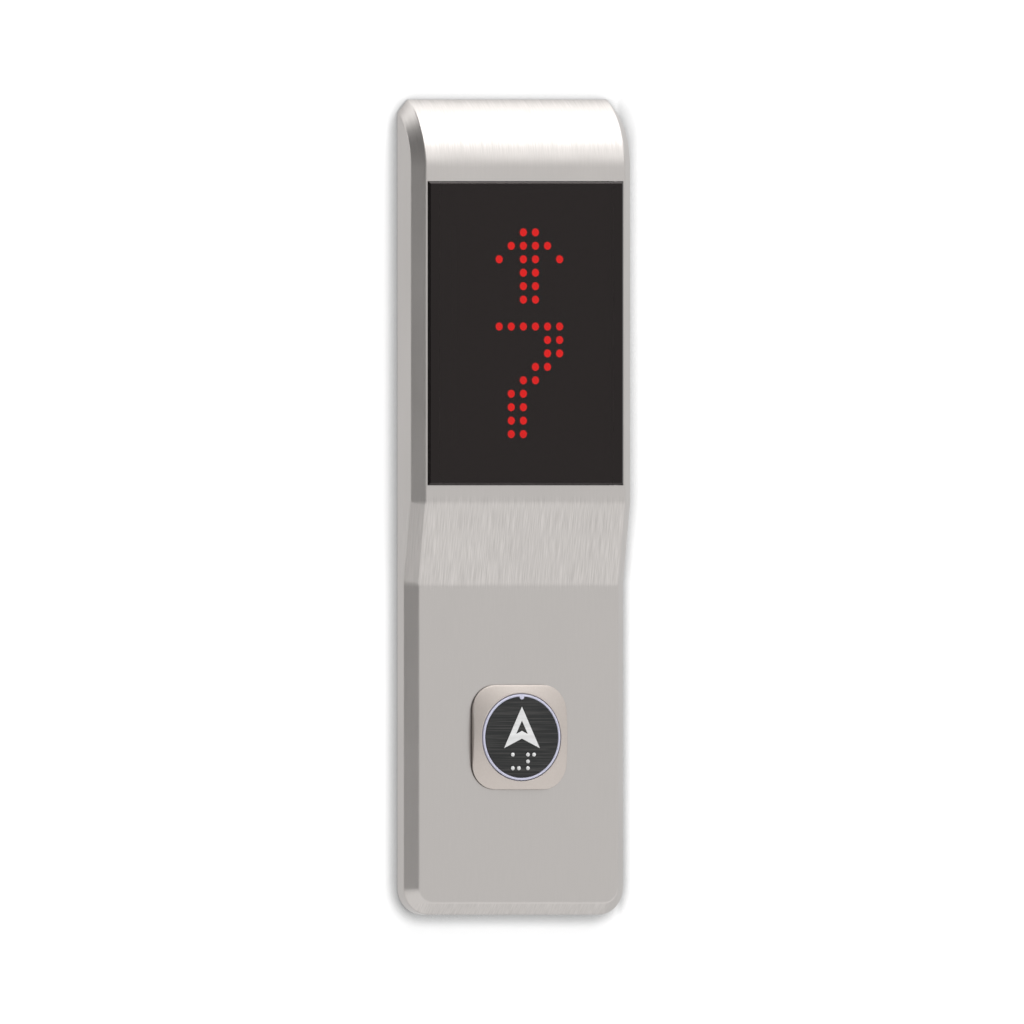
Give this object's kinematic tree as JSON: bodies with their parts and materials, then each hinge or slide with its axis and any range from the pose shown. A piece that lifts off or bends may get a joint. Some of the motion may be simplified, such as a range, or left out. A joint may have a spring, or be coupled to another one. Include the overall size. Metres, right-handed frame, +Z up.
{
  "type": "elevator call button panel",
  "caption": "Slim wall-mounted elevator call panel: stepped brushed metal cover, smoked dot-matrix display and a lit square push button that presses in.",
  "frame": {"origin": "centre of the pattern of wall screws, on the wall plane behind the panel", "axes": "+X to the right as seen from the front, +Z up, +Y into the wall; the front faces -Y"},
  "size_m": [0.09, 0.0164, 0.3],
  "materials": {
    "brushed_cover": "vertically brushed satin",
    "plated_steel": "zinc plated",
    "dark_screws": "dark plated",
    "black_rubber": "matte",
    "smoked_lens": "smoked, clear enough for the lit dots to show through",
    "foam_tape": "foam",
    "black_plastic": "moulded",
    "red_dots": "lit red resin",
    "smoky_dots": "unlit resin",
    "circuit_board": "solder mask",
    "standoff_brass": "turned",
    "ivory_plastic": "moulded",
    "pale_satin": "warm satin",
    "lit_plastic": "frosted, light-guiding",
    "dark_brushed": "fine horizontal brushing",
    "white_pins": "smooth",
    "spring_steel": "drawn wire"
  },
  "bodies": {
    "panel": {"front_cover": "brushed_cover", "wall_plate": "plated_steel", "cover_screws": "dark_screws", "press_nuts": "plated_steel", "cable_bush": "black_rubber", "display_lens": "smoked_lens", "lens_tapes": "foam_tape", "matrix_block_upper": "black_plastic", "matrix_block_lower": "black_plastic", "lit_dots": "red_dots", "dark_dots": "smoky_dots", "display_board": "circuit_board", "board_standoffs": "standoff_brass", "board_screws": "plated_steel", "driver_chips": "black_plastic", "wire_header": "ivory_plastic", "button_bezel": "pale_satin", "bezel_seal": "black_rubber", "button_carrier": "black_plastic", "carrier_screws": "plated_steel", "return_spring": "spring_steel", "switch_body": "black_plastic", "button_board": "circuit_board", "ring_leds": "ivory_plastic", "button_header": "ivory_plastic"},
    "button": {"button_lens": "lit_plastic", "button_face": "dark_brushed", "arrow_inlay": "dark_brushed", "touch_pins": "white_pins"},
    "plunger": {"switch_plunger": "ivory_plastic"}
  },
  "joints": [
    {"name": "button_press", "type": "slide", "parent": "panel", "child": "button", "axis": [0, 1, 0], "range_m": [0, 0.001], "stiffness_N_per_m": 1000, "springref_m": -0.0025, "deforming": ["return_spring"]},
    {"name": "plunger_press", "type": "slide", "parent": "panel", "child": "plunger", "axis": [0, 1, 0], "range_m": [0, 0.001]}
  ],
  "couplings": [
    {"joint": "plunger_press", "follows": "button_press", "ratio": 1}
  ]
}
